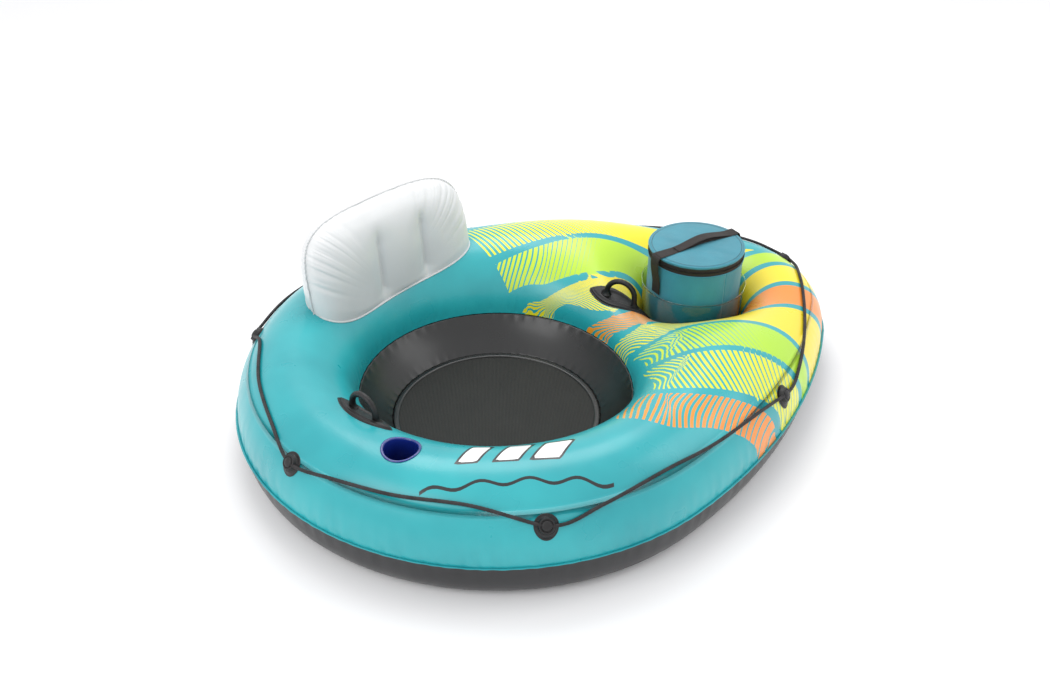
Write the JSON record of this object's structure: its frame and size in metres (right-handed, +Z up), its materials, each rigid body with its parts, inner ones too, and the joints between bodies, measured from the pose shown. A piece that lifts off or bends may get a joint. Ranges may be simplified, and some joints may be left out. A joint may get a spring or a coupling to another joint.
{
  "type": "river lounge tube",
  "caption": "Inflatable egg-shaped river tube with mesh seat, white backrest, moulded grab handles, cup holder, all-round rope and lift-out round cooler bag with zipped lid.",
  "frame": {"origin": "on the ground under the middle of the ring's bounding box", "axes": "+X along the ring to the cooler end, -Y front, +Z up"},
  "size_m": [1.532, 1.232, 0.4479],
  "materials": {
    "teal_pvc": "satin",
    "black_pvc": "satin",
    "white_pvc": "satin",
    "moulded_black": "satin",
    "seat_mesh": "woven",
    "navy_pvc": "gloss",
    "braided_rope": "braided",
    "clear_pvc": "clear",
    "teal_fabric": "woven",
    "white_foam": "matte",
    "foil_liner": "satin",
    "zip_metal": "satin",
    "black_webbing": "woven"
  },
  "bodies": {
    "ring": {"top_skin": "teal_pvc", "bottom_skin": "black_pvc", "outer_weld_seam": "teal_pvc", "seat_skirt": "black_pvc", "seat_mesh": "seat_mesh", "mesh_weld_ring": "black_pvc", "backrest_front_panel": "white_pvc", "backrest_rear_panel": "white_pvc", "backrest_weld_seam": "white_pvc", "backrest_rib_left": "white_pvc", "backrest_rib_right": "white_pvc", "backrest_valve_stem": "white_pvc", "left_handle": "moulded_black", "left_handle_patch": "moulded_black", "right_handle": "moulded_black", "right_handle_patch": "moulded_black", "cup_holder": "navy_pvc", "grab_rope": "braided_rope", "rope_knot": "braided_rope", "rope_guide_1": "moulded_black", "rope_guide_2": "moulded_black", "rope_guide_3": "moulded_black", "rope_guide_4": "moulded_black", "rope_guide_5": "moulded_black", "rope_guide_6": "moulded_black", "rope_guide_7": "moulded_black", "main_valve_base": "teal_pvc", "main_valve_insert": "moulded_black", "cooler_socket": "clear_pvc"},
    "cooler_bag": {"bag_shell": "teal_fabric", "bag_base_piping": "black_webbing", "bag_foam_sleeve": "white_foam", "bag_foam_base": "white_foam", "bag_liner": "foil_liner", "zip_tape_lower": "black_webbing", "zip_teeth_lower": "black_webbing", "carry_strap_inner_end": "black_webbing", "carry_strap_outer_end": "black_webbing"},
    "cooler_lid": {"zip_tape_upper": "black_webbing", "zip_teeth_upper": "black_webbing", "lid_panel": "teal_fabric", "lid_piping": "teal_fabric", "lid_foam": "white_foam", "lid_liner": "foil_liner", "carry_strap_top": "black_webbing"},
    "slider": {"zip_slider": "zip_metal"},
    "pull_tab": {"zip_pull_tab": "zip_metal"},
    "valve_cap": {"main_valve_cap": "teal_pvc"},
    "valve_flap": {"main_valve_flap": "moulded_black"},
    "back_valve_cap": {"backrest_valve_cap": "white_pvc"}
  },
  "joints": [
    {"name": "cooler_lift", "type": "slide", "parent": "ring", "child": "cooler_bag", "axis": [0, 0, 1], "range_m": [0, 0.45]},
    {"name": "lid_hinge", "type": "hinge", "parent": "cooler_bag", "child": "cooler_lid", "pos_m": [0.42, 0.1195, 0.3], "axis": [-1, 0, 0], "range_deg": [0, 110]},
    {"name": "zip_run", "type": "hinge", "parent": "cooler_bag", "child": "slider", "pos_m": [0.42, 0, 0.3], "axis": [0, 0, 1], "range_deg": [-270, 0]},
    {"name": "pull_tab_swing", "type": "hinge", "parent": "slider", "child": "pull_tab", "pos_m": [0.50761, 0.08761, 0.3025], "axis": [0.7071, -0.7071, 0], "range_deg": [0, 150]},
    {"name": "valve_cap_hinge", "type": "hinge", "parent": "ring", "child": "valve_cap", "pos_m": [-0.10612, 0.56321, 0.21989], "axis": [-0.9965, 0.0834, 0], "range_deg": [0, 120]},
    {"name": "valve_flap_hinge", "type": "hinge", "parent": "ring", "child": "valve_flap", "pos_m": [-0.10763, 0.54516, 0.2136], "axis": [0.9965, -0.0834, 0], "range_deg": [0, 35]},
    {"name": "back_valve_cap_hinge", "type": "hinge", "parent": "ring", "child": "back_valve_cap", "pos_m": [-0.15305, 0.52919, 0.28454], "axis": [-0.9997, 0.0248, 0], "range_deg": [0, 120]}
  ]
}
